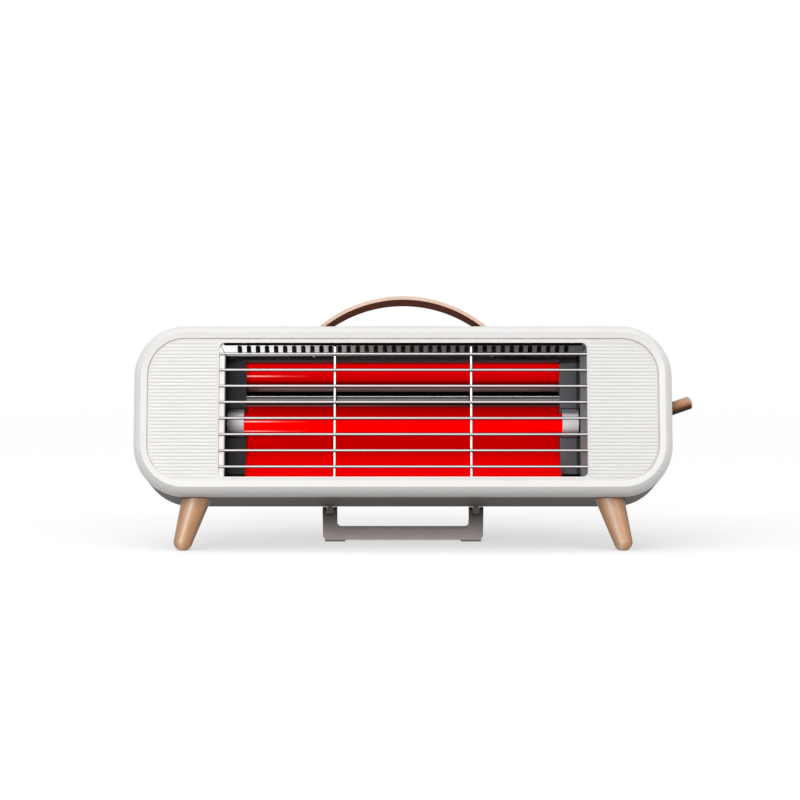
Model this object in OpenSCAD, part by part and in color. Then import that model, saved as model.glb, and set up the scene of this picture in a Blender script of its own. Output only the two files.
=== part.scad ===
// Electric bar heater: a low casing on two splayed feet and a folding rear stand,
// with two quartz tubes behind a wire guard. Millimetres, +Z up, front towards -Y.
// The casing is drawn in its own upright frame: X to the right, Y is the depth behind
// the front crest, Z is the height above the casing's underside. It then leans back.

/* [Casing] */
// Width of the casing
body_w = 400; // [360:1:460]
// Height of the casing
body_h = 127.5; // [124:0.5:136]
// Depth of the casing from the front crest to the rear face
body_d = 98; // [96:1:116]
// Corner radius of the casing seen from the front
corner_r = 38; // [34:0.5:42]
// Radius that rounds the rear edges of the shell
rear_round = 14; // [10:0.5:18]
// Wall thickness of the moulded casing parts
wall = 2.6; // [2:0.1:3.2]
// How far the casing leans back from upright, in degrees
lean = 11.1; // [9:0.1:13]
// Height of the casing's lower front edge above the floor
ride_h = 41.5; // [38:0.5:46]

/* [Front ring] */
// Depth from the crest to the widest outline of the ring
ring_d = 12.5; // [11:0.5:14]
// Radius of the ring's outer flank
flank_r = 16; // [15:0.5:20]
// Straight skirt behind the widest outline
ring_skirt = 3.5; // [2.5:0.5:5]
// Width of the ring seen from the front, from its outline to its inner edge
ring_w = 10.4; // [10:0.1:11.5]
// Width of the shallow groove along the panel's edge
groove = 0.9; // [0.6:0.1:1.4]
// Depth of that groove below the panel's face
groove_d = 0.5; // [0.4:0.1:1]
// How far the front band of the ring falls towards its inner edge
band_fall = 1.3; // [0.8:0.1:1.8]

/* [Face panel] */
// Depth of the panel's plain face behind the crest
panel_y = 2.9; // [2.7:0.1:3.4]
// Thickness of the panel
panel_t = 2.5; // [2:0.1:3]
// Distance between neighbouring ribs
rib_pitch = 2.63; // [2.2:0.01:3.4]
// Height of a rib above the panel's plain face
rib_h = 0.45; // [0.35:0.05:0.9]
// Width of the ribbed field between the casing's end and the window
window_side = 63.5; // [55:0.5:75]
// Distance from the casing's top and underside to the window
window_edge = 13.75; // [13.5:0.05:15]
// Corner radius of the window
window_r = 4; // [2:0.5:5]
// Depth of the rim behind the panel that carries the guard wires
rim_d = 5; // [5:0.1:6]

/* [Guard] */
// Diameter of the guard wires
wire_d = 2.2; // [1.6:0.1:2.6]
// Distance between the horizontal wires
wire_pitch = 12.05; // [11:0.05:12.4]
// Number of horizontal wires
wire_count = 8; // [5:1:8]
// Distance between the two upright wires
upright_gap = 101.3; // [80:0.1:130]

/* [Vent strip] */
// Distance between the slots
slot_pitch = 6.77; // [5.5:0.01:6.8]
// Width of a slot
slot_w = 3.5; // [2:0.05:3.7]
// Slope length of the vent strip
strip_len = 12.2; // [11:0.1:13]
// How far the vent strip falls, in degrees below level
strip_fall = 34; // [30:1:38]

/* [Heating tubes] */
// Outer diameter of a quartz tube
tube_d = 14.4; // [12:0.1:15]
// Wall of a quartz tube
tube_wall = 1.2; // [0.8:0.1:1.6]
// Outer diameter of the heating coil
coil_d = 7.5; // [5:0.5:8.5]
// Distance from a tube's glowing end to the side of the window
tube_end = 17.5; // [16:0.5:22]
// Diameter of an end cap
cap_d = 21.6; // [19:0.1:23]
// Length of an end cap
cap_len = 12; // [9:0.5:13]
// Depth of the lower tube behind the crest
low_tube_y = 31; // [30:0.5:33]
// Height of the lower tube above the window's lower edge
low_tube_up = 43.4; // [41:0.1:45]
// Depth of the upper tube behind the crest
top_tube_y = 43.5; // [43:0.5:46]
// Distance of the upper tube below the window's upper edge
top_tube_down = 17.2; // [16.8:0.1:19]

/* [Reflector] */
// Distance from a tube's axis to the reflector behind it
focal = 14; // [12:0.5:15]
// Thickness of the polished reflector sheet
sheet_t = 0.8; // [0.6:0.1:1]
// Depth of the black end plates behind the crest
plate_y = 30; // [29.5:0.5:31]

/* [Handle] */
// Outer radius of the handle's arch
handle_r = 98; // [90:1:110]
// How far the arch stands above the casing
handle_rise = 28; // [26:0.5:32]
// Thickness of the handle strap
strap_t = 2.6; // [2:0.1:3.4]
// Width of the handle strap
strap_w = 29; // [24:0.5:32]
// Depth of the strap's centre line behind the crest
handle_y = 54; // [46:0.5:60]

/* [Feet] */
// Distance of a foot from the casing's end where they meet
foot_in = 45; // [42:0.5:60]
// Depth of a foot's centre behind the crest
foot_y = 34.5; // [30:0.5:40]
// How far a foot splays outwards, in degrees
splay = 16.4; // [10:0.1:20]
// Radius of a foot at the casing
foot_top_r = 10.6; // [10:0.1:12]
// Radius of a foot's rounded end
foot_end_r = 7; // [6.5:0.1:8]
// Diameter of the bolt that holds a foot
foot_bolt_d = 6; // [5:0.5:6]

/* [Stand] */
// Overall width of the stand
stand_w = 123; // [105:0.5:135]
// Width of a stand leg
leg_w = 11.2; // [10.5:0.1:13]
// Height of the stand's cross bar
bar_h = 10; // [8:0.1:11]
// Thickness of the stand
stand_t = 4; // [3.4:0.1:4.6]
// How far the opened stand leans from upright, in degrees
stand_lean = 25; // [22:0.5:28]
// Distance of the stand's hinge in front of the rear face
hinge_in = 15; // [14:0.5:18]
// Distance of the stand's hinge below the underside
hinge_drop = 3.4; // [3.3:0.1:4]
// Diameter of the stand's hinge pins
hinge_pin_d = 2.4; // [2:0.1:2.8]
// Height of the rubber pads below the cross bar
pad_h = 1.5; // [1.2:0.1:2]

/* [Lever] */
// Diameter of the switch lever
lever_d = 9.8; // [8:0.1:10]
// Length of the lever from its pivot to its tip
lever_len = 30.8; // [29:0.1:34]
// How far the lever points up when it rests in its upper position, in degrees
lever_up = 19.4; // [15:0.1:20]
// Depth of the lever behind the crest
lever_y = 52.5; // [48:0.5:60]
// Height of the lever's pivot above the underside
lever_z = 66.3; // [62:0.1:72]
// Distance of the lever's pivot from the outside of the side wall
pivot_in = 10; // [9.5:0.1:10.5]
// Diameter of the lever's pivot pin
pivot_d = 3; // [2.5:0.1:3.2]

/* [Rear of the shell] */
// Number of slots in each row of the rear grille
grille_count = 21; // [11:2:23]
// Distance between the rear slots
grille_pitch = 9; // [7:0.5:9.5]
// Width of a rear slot
grille_slot_w = 3.2; // [2.5:0.1:4]
// Length of a rear slot
grille_slot_len = 24; // [18:1:28]
// Diameter of the bore of the cord gland
gland_bore_d = 7.2; // [6:0.1:7.6]
// Distance of the cord gland from the casing's end
gland_in = 50; // [46:1:70]
// Height of the cord gland above the underside
gland_z = 32; // [28:1:36]

/* [Clearances] */
// Gap left round a piece that is fitted into another
fit_gap = 0.3; // [0.2:0.05:0.4]
// Gap between the panel's edge and the ring
edge_gap = 0.15; // [0.1:0.05:0.3]
// Radial clearance of a pin in its bearing
pin_gap = 0.05; // [0.03:0.01:0.08]
// Gap round a wire or screw in its hole
hole_gap = 0.1; // [0.05:0.05:0.2]

/* [Hidden] */
$fn = 64;

// Colours
white_plastic = "#edecea";
grey_plastic = "#a39d99";
wood_tone = "#c8a078";
polished = "#d9dadc";
black_paint = "#26262a";
steel = "#b8babd";

// Casing: places that follow from the driving sizes, and its inner details
side_x = body_w/2;
mid_z = body_h/2;
shell_y = ring_d + ring_skirt;
crest_in = flank_r - sqrt(flank_r*flank_r - ring_d*ring_d);
inner_back = body_d - rear_round - 1;
tongue_t = 1.6;
tongue_len = 4;
// Long screws from the rear into pillars of the panel, in the casing's corners
boss_r = 4.6;
boss_in = 20;
boss_x = side_x - corner_r + (corner_r - boss_in)*cos(45);
boss_z = corner_r - (corner_r - boss_in)*sin(45);
pillar_back = 34;
case_screw_r = 1.7;
case_head_r = 3.1;
case_head_h = 2.6;
case_head_y = 50;

// Panel with its seat in the ring, the window and its rim
panel_in = ring_w + edge_gap;
panel_back = panel_y + panel_t;
ledge_w = 4.2;
ledge_t = 2;
window_w = body_w - 2*window_side;
window_h = body_h - 2*window_edge;
win_x = window_w/2;
win_low = mid_z - window_h/2;
win_top = mid_z + window_h/2;
bead_w = 1.1;
bead_h = 0.45;
rim_t = 3;
rim_h = 2.2;
rim_back = panel_back + rim_d;

// Guard: how far its bars enter the rim, and where they lie
wire_seat = 2;
upright_seat = 1.5;
wire_y = panel_back + wire_d/2 - 0.1;
upright_y = wire_y + wire_d + hole_gap;

// Liners and end plates, on screws into small bosses behind the panel
liner_t = 0.8;
liner_back = rim_back + strip_len*cos(strip_fall);
slot_count = 2*floor((win_x - 14)/slot_pitch) + 1;
slot_end = slot_w/2 + 0.9;
plate_t = 0.8;
flange_w = 12;
tab_w = 8;
panel_boss_r = 3.2;
panel_screw_r = 1.25;
panel_head_r = 2.6;
panel_head_h = 2;
screw_seat = rim_back + liner_t + plate_t;

// Tubes and reflectors
tube_len = window_w - 2*tube_end;
low_tube_z = win_low + low_tube_up;
top_tube_z = win_top - top_tube_down;
cap_play = 1;
outer_plate_x = tube_len/2 + cap_len + cap_play;
liner_in = win_x - outer_plate_x - fit_gap;
plate_x = tube_len/2 - 1.4;
sheet_x = plate_x - 0.2;
stud_d = 5;
nut_len = 3;
coil_t = 1;
stud_out = 7;
rail_h = 3.9;
rail_up = 1.5;
lip_h = 4.5;
lip_fall = 1.6;
low_edge = win_low + 1;
ridge_z = (low_tube_z + top_tube_z)/2 - 0.4;
ridge_y = low_tube_y + focal - pow(ridge_z - low_tube_z, 2)/(4*focal);
top_break = top_tube_z - 10.5;
top_edge = top_tube_z + 7.8;

// Handle: the strap runs into the anchors at this angle from the top of its arch
handle_c = body_h + handle_rise - handle_r;
anchor_h = 12;
anchor_w = 24;
anchor_edge = 3;
anchor_z = body_h - wall - anchor_h/2;
anchor_angle = acos((anchor_z - handle_c)/(handle_r - strap_t/2));
handle_screw_r = 1.6;
handle_head_r = 3;
handle_head_h = 2;
screw_r0 = handle_r - strap_t - 7;
screw_r1 = handle_r + 2.3;

// Feet and their bolts
foot_x = side_x - foot_in;
foot_z = ride_h - (foot_y - ring_d)*sin(lean);
foot_len = (foot_z - foot_end_r + 0.8)/(cos(splay)*cos(lean));
foot_root = 8;
foot_seat_r = 9;
foot_seat_top = wall + 2.5;
foot_bolt_in = 13;
foot_head_d = foot_bolt_d + 5;
foot_head_h = 4;

// Stand: lugs under the shell, the forks on them and the pads
hinge_y = body_d - hinge_in;
leg_x = (stand_w - leg_w)/2;
lug_w = 4.4;
lug_r = hinge_pin_d/2 + 1.6;
stop_gap = 0.3;
stop_len = 7;
stop_t = 3;
knuckle_r = lug_r + 0.2;
slot_half = lug_w/2 + 0.25;
axis_drop = hinge_drop*cos(lean) + (hinge_y - ring_d)*sin(lean);
axis_z = ride_h - axis_drop;
bar_low = axis_z/cos(stand_lean) - pad_h - stand_t/2*tan(stand_lean);
bar_inner_r = 3;
bar_outer_r = 4;
pad_len = 15.5;
pad_in = 1.5;

// Lever, its pivot and the switch behind it
pivot_x = side_x - pivot_in;
hub_r = 5.6;
hub_in = 0.4;
cheek_gap = 0.35;
cheek_t = 3;
lever_dome_r = 7;
lever_slot_gap = 0.6;
switch_x = pivot_x - hub_r - 1;
switch_w = 23;
switch_h = 30;
blade_len = 8;
blade_w = 6;
blade_t = 0.8;

// Cord gland and the parts inside the casing
gland_x = side_x - gland_in;
gland_r = gland_bore_d/2;
gland_wall = 1.8;
gland_flange = 4.5;
gland_flange_t = 3;
gland_reach = 9;
nut_rim = 5;
block_w = 34;
block_d = 17;
block_h = 15;
block_in = 60;
block_hole_d = 5;
tip_w = 26;
tip_d = 16;
tip_h = 20;
tip_tab = 6;
cutout_r = 7;
cutout_h = 7.2;
bracket_w = 28;
bracket_h = 10;

// Where the lever and the rear edge set the outermost points of the whole heater
lever_tip_x = pivot_x + (lever_len - lever_dome_r)*cos(lever_up) + lever_dome_r;
y_back = (body_d - rear_round - ring_d)*cos(lean)
    + (body_h - rear_round)*sin(lean) + rear_round;
y_front = -ring_d*cos(lean) + crest_in*sin(lean);
shift_x = (side_x - lever_tip_x)/2;
shift_y = -(y_back + y_front)/2;
axis_y = (hinge_y - ring_d)*cos(lean) - hinge_drop*sin(lean) + shift_y;

// ---------- frames and shared shapes ----------

// Puts what is drawn in the casing's own frame into the leaning place it stands in
module in_casing() {
    translate([shift_x, shift_y, ride_h]) rotate([-lean, 0, 0])
        translate([0, -ring_d, 0]) children();
}

// Draws its children on the right and mirrored on the left
module both_sides() {
    children();
    mirror([1, 0, 0]) children();
}

// Pulls a front view, drawn in X and Z, from depth y0 to depth y1
module front_slab(y0, y1) {
    translate([0, y1, 0]) rotate([90, 0, 0]) linear_extrude(y1 - y0) children();
}

// Pulls a side view, drawn in Y and Z, from x0 to x1
module side_slab(x0, x1) {
    translate([x0, 0, 0]) rotate([90, 0, 90]) linear_extrude(x1 - x0) children();
}

// A round bar along the depth
module depth_bar(x, z, r, y0, y1) {
    translate([x, y0, z]) rotate([-90, 0, 0]) cylinder(r = r, h = y1 - y0);
}

// A round bar along the width
module cross_bar(y, z, r, x0, x1) {
    translate([x0, y, z]) rotate([0, 90, 0]) cylinder(r = r, h = x1 - x0);
}

// A rectangle with round corners, set in from the casing's outline
module outline(inset) {
    r = corner_r - inset;
    translate([0, mid_z]) rounded(body_w - 2*inset, body_h - 2*inset, r);
}

module rounded(w, h, r) {
    square([w - 2*r, h], center = true);
    square([w, h - 2*r], center = true);
    for (sx = [-1, 1], sy = [-1, 1])
        translate([sx*(w/2 - r), sy*(h/2 - r)]) circle(r = r);
}

// Sweeps a profile round the casing's outline. In the profile X is the distance
// inside the outline and Y is the depth.
module sweep_outline() {
    cx = side_x - corner_r;
    for (a = [0 : 3])
        translate([(a == 0 || a == 3 ? cx : -cx), 0, (a < 2 ? body_h - corner_r : corner_r)])
            rotate([-90, 0, 0]) rotate([0, 0, -90*(a + 1)])
                rotate_extrude(angle = 90) translate([corner_r, 0]) mirror([1, 0]) children();
    translate([0, 0, body_h]) side_slab(-cx, cx) rotate([0, 0, -90]) children();
    side_slab(-cx, cx) mirror([0, 1]) rotate([0, 0, -90]) children();
    for (m = [0, 1]) mirror([m, 0, 0]) translate([side_x, 0, corner_r])
        linear_extrude(body_h - 2*corner_r) mirror([1, 0]) children();
}

// A closed block with the casing's outline and rounded rear edges
module casing_block(inset, y0, y1) {
    r = corner_r - inset;
    q = rear_round - inset;
    cx = side_x - corner_r;
    cz = mid_z - corner_r;
    translate([0, 0, mid_z]) {
        for (sx = [-1, 1], sz = [-1, 1]) translate([sx*cx, 0, sz*cz])
            rotate([-90, 0, 0]) rotate_extrude() {
                translate([0, y0]) square([r, y1 - q - y0]);
                translate([0, y0]) square([r - q, y1 - y0]);
                intersection() {
                    translate([r - q, y1 - q]) circle(r = q);
                    translate([r - q - 1, y1 - q]) square([q + 1, q]);
                }
            }
        side_slab(-cx, cx) block_section(r + cz, q, y0, y1);
        translate([0, 0, -cz]) linear_extrude(2*cz) rotate([0, 0, 90]) mirror([0, 1])
            block_section(r + cx, q, y0, y1);
    }
}

// Depth along X, half height h either side of the axis, rear corners rounded by q
module block_section(h, q, y0, y1) {
    translate([y0, -h]) square([y1 - q - y0, 2*h]);
    translate([y0, -h + q]) square([y1 - y0, 2*(h - q)]);
    for (s = [-1, 1]) translate([y1 - q, s*(h - q)]) circle(r = q);
}

// Places for the four long casing screws
module at_bosses() {
    for (sx = [-1, 1], z = [boss_z, body_h - boss_z]) translate([sx*boss_x, 0, z]) children();
}

// ---------- front ring ----------

// Section of the ring: distance inside the outline along X, depth along Y. The band
// ends in an inner wall that carries a ledge under the panel's edge.
module ring_section() {
    inner = ring_w - wall;
    difference() {
        ring_skin(0);
        ring_skin(wall);
    }
    translate([inner, ring_band(inner)])
        polygon([[0, 0], [wall, ring_band(ring_w) - ring_band(inner)],
            [wall, panel_back + 1 - ring_band(inner)], [0, panel_back + 1 - ring_band(inner)]]);
    translate([inner, panel_back]) square([wall + edge_gap + ledge_w, ledge_t]);
}

// Depth of the ring's sloping front band at a distance inside the outline
function ring_band(n) = band_fall*(n - crest_in)/(ring_w - crest_in);

// The ring's outer form, made thinner all round by t
module ring_skin(t) {
    intersection() {
        union() {
            translate([flank_r, ring_d]) circle(r = flank_r - t, $fn = 96);
            translate([t, ring_d]) square([ring_w, ring_skirt + t]);
        }
        polygon([[0, ring_band(0) + t], [ring_w, ring_band(ring_w) + t],
            [ring_w, shell_y + t], [0, shell_y + t]]);
    }
}

module front_ring() {
    color(white_plastic) in_casing() difference() {
        sweep_outline() ring_section();
        // the ledge leaves room for the rim of the window
        front_slab(panel_back - 0.5, rim_back) translate([0, mid_z])
            rounded(window_w + 2*(rim_t + fit_gap), window_h + 2*(rim_h + fit_gap), window_r + 1);
    }
}

// ---------- face panel ----------

// Cut across the ribs: a row of flat-topped ridges, seen from the side
module rib_rows() {
    rows = floor((body_h - 2*panel_in - 3)/rib_pitch);
    foot = rib_pitch*0.78;
    top = rib_pitch*0.34;
    for (i = [0 : rows - 1]) translate([panel_y, mid_z + (i - (rows - 1)/2)*rib_pitch])
        polygon([[0.2, -foot/2], [0, -foot/2], [-rib_h, -top/2], [-rib_h, top/2], [0, foot/2],
            [0.2, foot/2]]);
}

module face_panel() {
    color(white_plastic) in_casing() difference() {
        union() {
            front_slab(panel_y, panel_back) outline(panel_in + groove);
            front_slab(panel_y + groove_d, panel_back) outline(panel_in);
            // bead round the window
            front_slab(panel_y - bead_h, panel_back) translate([0, mid_z])
                rounded(window_w + 2*bead_w, window_h + 2*bead_w, window_r + bead_w);
            intersection() {
                both_sides() side_slab(win_x + bead_w + 0.4, side_x) rib_rows();
                front_slab(panel_y - rib_h, panel_y + 1) outline(panel_in + groove + 0.3);
            }
            front_slab(panel_back, rim_back) translate([0, mid_z])
                rounded(window_w + 2*rim_t, window_h + 2*rim_h, window_r + 1);
            for (p = panel_screw_spots())
                depth_bar(p[0], p[1], panel_boss_r, panel_back, rim_back);
            // pillars that take the long screws from the rear
            at_bosses() depth_bar(0, 0, boss_r - 0.4, panel_back, pillar_back - fit_gap);
        }
        front_slab(-1, rim_back + 1) translate([0, mid_z]) rounded(window_w, window_h, window_r);
        // holes for the guard's bars, a little deeper than the bars reach
        wire_hole = wire_seat + 2*hole_gap;
        upright_hole = upright_seat + 2*hole_gap;
        for (z = wire_heights())
            cross_bar(wire_y, z, wire_d/2 + hole_gap, -win_x - wire_hole, win_x + wire_hole);
        for (s = [-1, 1]) translate([s*upright_gap/2, upright_y, win_low - upright_hole])
            cylinder(r = wire_d/2 + hole_gap, h = window_h + 2*upright_hole);
        for (p = panel_screw_spots())
            depth_bar(p[0], p[1], panel_screw_r + hole_gap, panel_y + 1, rim_back + 1);
        at_bosses() depth_bar(0, 0, case_screw_r + hole_gap, panel_back + 4, pillar_back + 1);
    }
}

// Centres of the bosses behind the panel that carry the liners and end plates
function panel_screw_spots() =
    [for (sx = [-1, 1], z = tab_heights()) [sx*(win_x + 8), z]];

module panel_screws() {
    color(steel) in_casing() for (p = panel_screw_spots()) {
        depth_bar(p[0], p[1], panel_screw_r, panel_y + 1.5, screw_seat);
        depth_bar(p[0], p[1], panel_head_r, screw_seat, screw_seat + panel_head_h);
    }
}

// ---------- guard ----------

function wire_heights() =
    [for (i = [0 : wire_count - 1]) mid_z + (i - (wire_count - 1)/2)*wire_pitch];

module guard_wires() {
    color(polished) in_casing() for (z = wire_heights())
        cross_bar(wire_y, z, wire_d/2, -win_x - wire_seat, win_x + wire_seat);
}

module guard_uprights() {
    color(polished) in_casing() for (s = [-1, 1])
        translate([s*upright_gap/2, upright_y, win_low - upright_seat])
            cylinder(r = wire_d/2, h = window_h + 2*upright_seat);
}

// ---------- liners round the window ----------

// The vent strip falls backwards from the window's top edge
module vent_strip() {
    front_half = win_x - 0.4;
    back_half = win_x - liner_in - 0.4;
    color(polished) in_casing() {
        translate([0, rim_back, win_top - 0.2]) rotate([-strip_fall, 0, 0]) linear_extrude(liner_t)
            difference() {
                polygon([[-front_half, 0], [front_half, 0], [back_half, strip_len],
                    [-back_half, strip_len]]);
                for (i = [0 : slot_count - 1]) translate([(i - (slot_count - 1)/2)*slot_pitch, 0]) {
                    translate([-slot_w/2, slot_end]) square([slot_w, strip_len - 2*slot_end]);
                    for (y = [slot_end, strip_len - slot_end])
                        translate([0, y]) circle(d = slot_w, $fn = 24);
                }
            }
        translate([-front_half, rim_back, win_top + 0.3]) cube([2*front_half, liner_t, rim_h - 0.5]);
    }
}

// A polished strip beside the window that turns in behind the wires
module side_liner() {
    difference() {
        translate([0, 0, win_low - rim_t]) linear_extrude(window_h + 2*rim_t)
            polygon([[win_x + flange_w, rim_back], [win_x, rim_back],
                [win_x - liner_in, liner_back], [win_x - liner_in + liner_t, liner_back],
                [win_x + liner_t, rim_back + liner_t], [win_x + flange_w, rim_back + liner_t]]);
        right_screw_holes();
        // mitre under the vent strip
        translate([0, rim_back, win_top - 0.2]) rotate([-strip_fall, 0, 0])
            translate([0, -strip_len, -fit_gap]) cube([win_x + 1, 3*strip_len, 3*strip_len]);
        translate([win_x - tab_w, rim_back - 1, win_top])
            cube([tab_w + fit_gap, 2*strip_len, tab_w]);
    }
}

// Holes for the screws at the right of the window
module right_screw_holes() {
    for (p = panel_screw_spots())
        if (p[0] > 0) depth_bar(p[0], p[1], panel_screw_r + hole_gap, rim_back - 1, screw_seat + 1);
}
module side_liner_right() { color(polished) in_casing() side_liner(); }
module side_liner_left() { color(polished) in_casing() mirror([1, 0, 0]) side_liner(); }

module bottom_liner() {
    half = win_x - liner_in - 0.4;
    color(polished) in_casing() side_slab(-half, half)
        polygon([[rim_back, win_low - rim_h], [rim_back + liner_t, win_low - rim_h],
            [rim_back + liner_t, win_low - liner_t], [liner_back, win_low - 1.2 - liner_t],
            [liner_back, win_low - 1.2], [rim_back, win_low]]);
}

// ---------- reflectors and end plates ----------

// Depth of the parabola behind a tube, at height z
function dish(y, z0, z) = y + focal - pow(z - z0, 2)/(4*focal);

// A bent sheet from a chain of points along its front side
module sheet(points) {
    back = [for (i = [len(points) - 1 : -1 : 0]) points[i] + sheet_normal(points, i)*sheet_t];
    polygon(concat(points, back));
}
function sheet_normal(p, i) =
    let (a = p[max(i - 1, 0)], b = p[min(i + 1, len(p) - 1)], d = (b - a)/norm(b - a))
    [d[1], -d[0]];

module lower_reflector() {
    n = 24;
    color(polished) in_casing() side_slab(-sheet_x, sheet_x)
        sheet([for (i = [0 : n]) let (z = low_edge + (ridge_z - low_edge)*i/n)
            [dish(low_tube_y, low_tube_z, z), z]]);
}

module upper_reflector() {
    n = 14;
    color(polished) in_casing() side_slab(-sheet_x, sheet_x)
        sheet(concat([[ridge_y + 3.2, ridge_z + 2.6]],
            [for (i = [0 : n]) let (z = top_break + (top_edge - top_break)*i/n)
                [dish(top_tube_y, top_tube_z, z), z]],
            [[top_tube_y - 8, top_edge], [liner_back + 1.8, top_edge - 2]]));
}

// Polished rail in front of the slit between the two reflectors: a face, a flange that
// runs back to the lower reflector and a lip that slants forwards below it
module reflector_rail() {
    low = ridge_z + rail_up - rail_h;
    seat = dish(low_tube_y, low_tube_z, low + sheet_t) - fit_gap;
    lip_y = plate_y + lip_fall;
    face_back = plate_y + sheet_t;
    color(polished) in_casing() side_slab(-sheet_x, sheet_x)
        polygon([[plate_y, low - lip_h], [face_back, low - lip_h], [lip_y + sheet_t, low],
            [seat, low], [seat, low + sheet_t], [face_back, low + sheet_t],
            [face_back, low + rail_h], [plate_y, low + rail_h], [plate_y, low], [lip_y, low]]);
}

// Black end plate: a face beside the reflectors, a web that closes their ends and
// an outer wall that carries the tube studs and the tabs to the panel's bosses
module end_plate() {
    low = low_edge + 4;
    back = top_tube_y + focal - 2;
    face_w = outer_plate_x + plate_t - plate_x;
    difference() {
        union() {
            translate([plate_x, plate_y, low]) cube([face_w, plate_t, top_tube_z + 6 - low]);
            translate([outer_plate_x, liner_back + 0.2, win_low + 2])
                cube([plate_t, back - liner_back, win_top - win_low - 2]);
            side_slab(plate_x, plate_x + plate_t) web_outline();
            for (z = tab_heights()) end_tab(z);
        }
        // the lower cap stands in a notch, tubes and studs pass through round holes
        translate([plate_x - 1, plate_y - 1, low_tube_z - cap_d/2 - 0.6])
            cube([outer_plate_x - plate_x + 0.8, 2.8, cap_d + 1.2]);
        for (t = [[low_tube_y, low_tube_z], [top_tube_y, top_tube_z]]) {
            cross_bar(t[0], t[1], tube_d/2 + 0.4, plate_x - 1, plate_x + 2);
            cross_bar(t[0], t[1], stud_d/2 + hole_gap, outer_plate_x - 1, outer_plate_x + 2);
        }
        right_screw_holes();
    }
}
function tab_heights() = [win_low + 6, mid_z, win_top - 6];

// Cranked tab from the outer wall out to a panel boss
module end_tab(z) {
    out = win_x + flange_w;
    foot = rim_back + liner_t;
    strap = liner_back + 0.2;
    translate([0, 0, z - tab_w/2]) linear_extrude(tab_w)
        polygon([[outer_plate_x, strap], [out - plate_t, strap], [out - plate_t, foot + plate_t],
            [win_x + 4.5, foot + plate_t], [win_x + 4.5, foot], [out, foot],
            [out, strap + plate_t], [outer_plate_x, strap + plate_t]]);
}

// The web reaches back to just short of the reflector sheets
module web_outline() {
    n = 16;
    z0 = low_tube_z - sqrt(4*focal*(low_tube_y + focal - plate_y - 0.4));
    z1 = top_tube_z + 6;
    polygon(concat([[plate_y, z0]],
        [for (i = [0 : n]) let (z = z0 + (ridge_z - z0)*i/n)
            [dish(low_tube_y, low_tube_z, z) - 0.2, z]],
        [[ridge_y + 2.8, ridge_z + 2.8]],
        [for (i = [0 : n]) let (z = top_break + (z1 - top_break)*i/n)
            [dish(top_tube_y, top_tube_z, z) - 0.2, z]],
        [[plate_y, z1]]));
}
module end_plate_right() { color(black_paint) in_casing() end_plate(); }
module end_plate_left() { color(black_paint) in_casing() mirror([1, 0, 0]) end_plate(); }

// ---------- tubes ----------

module quartz_tube(y, z) {
    reach = tube_len/2 + cap_len/2;
    color("#ff2010") in_casing() difference() {
        cross_bar(y, z, tube_d/2, -reach, reach);
        cross_bar(y, z, tube_d/2 - tube_wall, -reach - 1, reach + 1);
    }
}
module upper_tube() { quartz_tube(top_tube_y, top_tube_z); }
module lower_tube() { quartz_tube(low_tube_y, low_tube_z); }

module heating_coil(y, z) {
    reach = tube_len/2 + cap_len/2;
    color("#ff7030") in_casing() difference() {
        cross_bar(y, z, coil_d/2, -reach, reach);
        cross_bar(y, z, coil_d/2 - coil_t, -reach - 1, reach + 1);
    }
}
module upper_coil() { heating_coil(top_tube_y, top_tube_z); }
module lower_coil() { heating_coil(low_tube_y, low_tube_z); }

module tube_caps(y, z) {
    x0 = tube_len/2;
    seat = x0 + cap_len/2 + 0.2;
    color("#c9cacc") in_casing() both_sides() difference() {
        cross_bar(y, z, cap_d/2, x0, x0 + cap_len);
        cross_bar(y, z, tube_d/2 + hole_gap, x0 - 1, seat);
        cross_bar(y, z, stud_d/2 + hole_gap, seat - 1, x0 + cap_len + 1);
    }
}
module upper_tube_caps() { tube_caps(top_tube_y, top_tube_z); }
module lower_tube_caps() { tube_caps(low_tube_y, low_tube_z); }

// Terminal studs that pass through the outer walls, each with its nut
module tube_studs() {
    x0 = tube_len/2 + cap_len/2 + 0.4;
    for (t = [[low_tube_y, low_tube_z], [top_tube_y, top_tube_z]])
        color("#c9a860") in_casing() both_sides() {
            cross_bar(t[0], t[1], stud_d/2, x0, outer_plate_x + stud_out);
            cross_bar(t[0], t[1], stud_d/2 + 2, outer_plate_x + 1, outer_plate_x + 1 + nut_len);
        }
}

// ---------- rear shell ----------

module rear_shell() {
    color(grey_plastic) in_casing() difference() {
        union() {
            difference() {
                casing_block(0, shell_y, body_d);
                casing_block(wall, shell_y - 1, body_d - wall);
            }
            // tongue inside the ring's skirt
            shell_tongue();
            at_bosses() depth_bar(0, 0, boss_r, pillar_back, body_d - 1);
            stand_lugs();
            foot_seats();
        }
        at_bosses() {
            depth_bar(0, 0, case_head_r + fit_gap, case_head_y, body_d + 1);
            depth_bar(0, 0, case_screw_r + 2*hole_gap, pillar_back - 1, case_head_y + 1);
        }
        handle_slots();
        rear_grille();
        lever_slot();
        depth_bar(gland_x, gland_z, gland_r + gland_wall + hole_gap, body_d - wall - 1, body_d + 1);
        for (s = [-1, 1]) translate([s*foot_x, foot_y, -1])
            cylinder(d = foot_bolt_d + 4*hole_gap, h = foot_seat_top + 2);
        cross_bar(hinge_y, -hinge_drop, hinge_pin_d/2 + 0.02, -stand_w, stand_w);
    }
}

module shell_tongue() {
    difference() {
        front_slab(shell_y - tongue_len, shell_y + 2) outline(wall + fit_gap);
        front_slab(shell_y - tongue_len - 1, shell_y + 3) outline(wall + fit_gap + tongue_t);
    }
    difference() {
        front_slab(shell_y, shell_y + 2) outline(1);
        front_slab(shell_y - 1, shell_y + 3) outline(wall + fit_gap + tongue_t);
    }
}

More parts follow.
